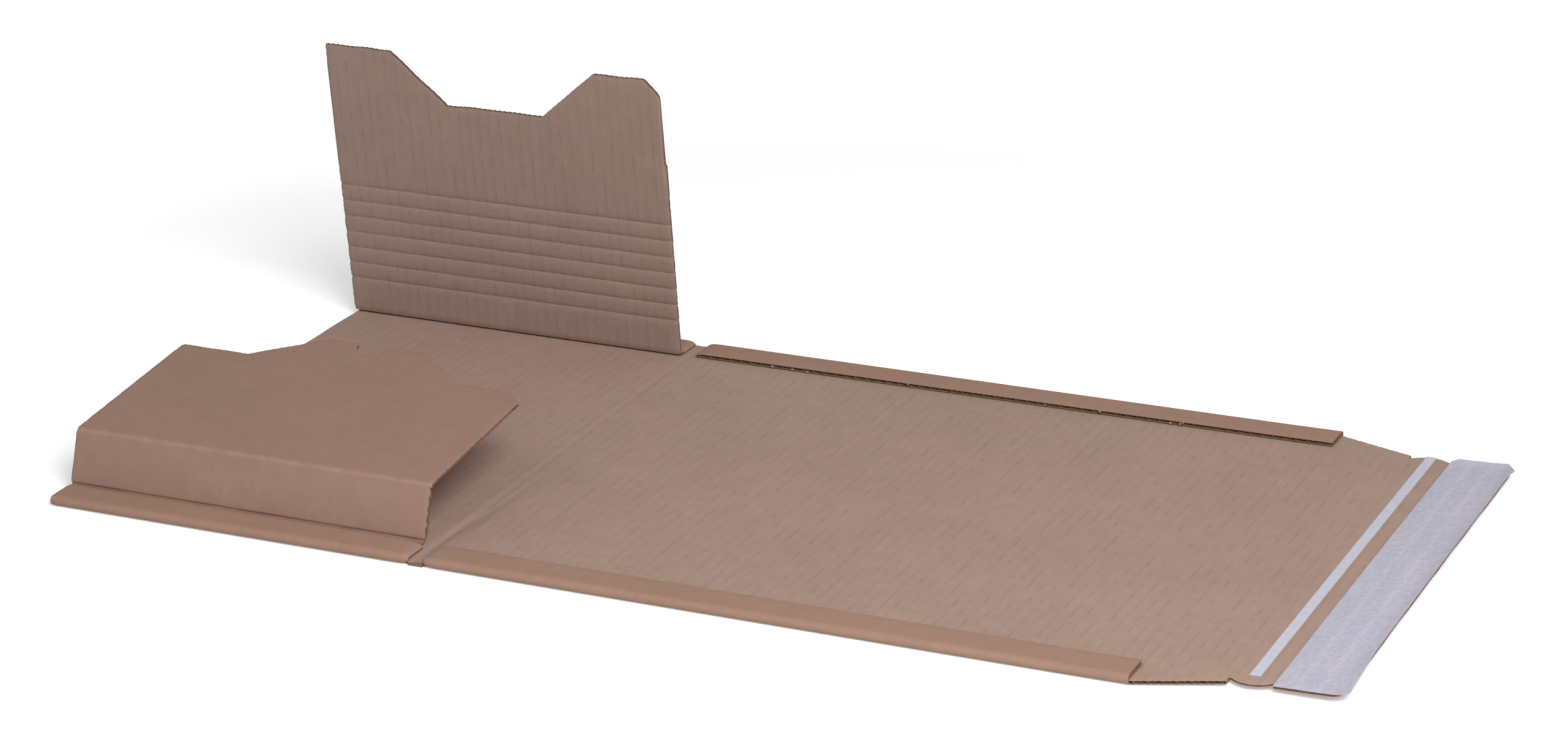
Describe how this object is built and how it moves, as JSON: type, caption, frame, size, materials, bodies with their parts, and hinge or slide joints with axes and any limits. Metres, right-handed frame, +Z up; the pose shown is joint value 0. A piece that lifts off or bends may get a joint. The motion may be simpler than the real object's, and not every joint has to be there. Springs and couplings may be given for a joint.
{
  "type": "wraparound mailer",
  "caption": "Corrugated board book mailer, opened out: tray panel with folding front and rear flaps, long wrap panel with tear tape and a self-seal end under a release liner.",
  "frame": {"origin": "centre of the footprint on the surface the mailer lies on", "axes": "+X along the blank from the tray panel to the self-seal end, +Y from the front flap to the rear flap, +Z up"},
  "size_m": [0.7046, 0.35, 0.173],
  "materials": {
    "kraft_board_inner": "matte brown kraft, inner face of single-wall corrugated board",
    "kraft_board_outer": "matte brown kraft, outer face of single-wall corrugated board",
    "white_tape": "white tear tape, satin",
    "adhesive": "pressure-sensitive adhesive film",
    "liner_paper": "white siliconised release paper, slightly glossy"
  },
  "bodies": {
    "base": {"base_panel": "kraft_board_inner"},
    "front_wall": {"front_wall": "kraft_board_outer"},
    "front_top": {"front_top": "kraft_board_outer"},
    "rear_wall": {"rear_wall": "kraft_board_inner"},
    "rear_top": {"rear_top": "kraft_board_inner"},
    "wrap": {"wrap_panel": "kraft_board_inner", "tear_tape": "white_tape", "adhesive_strip": "adhesive", "release_liner": "liner_paper"}
  },
  "joints": [
    {"name": "front_wall_crease", "type": "hinge", "parent": "base", "child": "front_wall", "pos_m": [0, -0.1545, 0.0056], "axis": [-1, 0, 0], "range_deg": [-107, 5]},
    {"name": "front_top_crease", "type": "hinge", "parent": "front_wall", "child": "front_top", "pos_m": [0, -0.14433, 0.03346], "axis": [-1, 0, 0], "range_deg": [-65, 10]},
    {"name": "rear_wall_crease", "type": "hinge", "parent": "base", "child": "rear_wall", "pos_m": [0, 0.1545, 0.0056], "axis": [1, 0, 0], "range_deg": [-95, 5]},
    {"name": "rear_top_crease", "type": "hinge", "parent": "rear_wall", "child": "rear_top", "pos_m": [0, 0.14837, 0.0351], "axis": [1, 0, 0], "range_deg": [0, 88]},
    {"name": "wrap_crease", "type": "hinge", "parent": "base", "child": "wrap", "pos_m": [-0.13315, 0, 0.0028], "axis": [0, -1, 0], "range_deg": [0, 90]}
  ]
}
